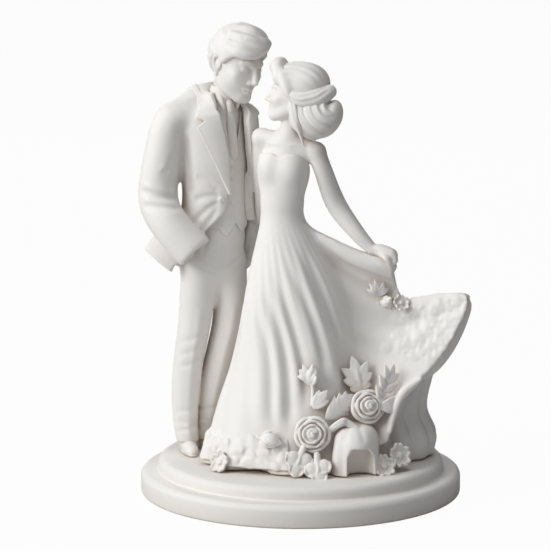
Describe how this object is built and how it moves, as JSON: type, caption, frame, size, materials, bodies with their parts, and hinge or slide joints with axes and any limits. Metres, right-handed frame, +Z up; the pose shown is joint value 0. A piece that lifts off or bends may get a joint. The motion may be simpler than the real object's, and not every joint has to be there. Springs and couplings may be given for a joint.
{
  "type": "wedding cake topper",
  "caption": "Matt white wedding cake topper: groom and bride embrace on a round stepped plinth, the bride lifting her train above roses, buds and leaves along the hem.",
  "frame": {"origin": "centre of the plinth's underside", "axes": "+Z up, -Y towards the viewer of the picture, +X to the viewer's right, the side of the lifted train"},
  "size_m": [0.1012, 0.1, 0.1453],
  "materials": {
    "plinth": "matt white, faint level lines from casting",
    "groom": "matt white",
    "bride": "matt white",
    "flowers": "matt white"
  },
  "bodies": {
    "root": {"plinth": "plinth", "groom_tie": "groom", "groom_hair": "groom", "groom_hand_left": "groom", "groom_hand_right": "groom", "groom_head": "groom", "groom_jacket": "groom", "groom_jacket_button": "groom", "groom_lapel_left": "groom", "groom_lapel_right": "groom", "groom_shirt": "groom", "groom_shoe_left": "groom", "groom_shoe_right": "groom", "groom_sleeve_left": "groom", "groom_sleeve_right": "groom", "groom_trousers": "groom", "groom_waistcoat": "groom", "bride_arm_left": "bride", "bride_arm_right": "bride", "bride_bodice": "bride", "bride_hair_bun": "bride", "bride_hair_cap": "bride", "bride_hair_front_roll": "bride", "bride_hair_loose_lock": "bride", "bride_hair_side_wave": "bride", "bride_hand_left": "bride", "bride_hand_right": "bride", "bride_head": "bride", "bride_skirt": "bride", "bride_train": "bride", "bride_underskirt": "bride", "bride_upper_chest": "bride", "hem_fold": "bride", "hem_lace": "bride", "blossom_left": "flowers", "blossom_right_lower": "flowers", "blossom_right_upper": "flowers", "bud_left": "flowers", "bud_tall": "flowers", "fern": "flowers", "leaf_broad": "flowers", "leaf_lobed": "flowers", "leaf_low_left": "flowers", "leaf_low_middle": "flowers", "leaf_pair": "flowers", "leaves_by_bud": "flowers", "rose_left": "flowers", "rose_right": "flowers", "train_blossom": "flowers", "train_bud": "flowers", "train_leaves": "flowers", "vine": "flowers"}
  },
  "joints": []
}
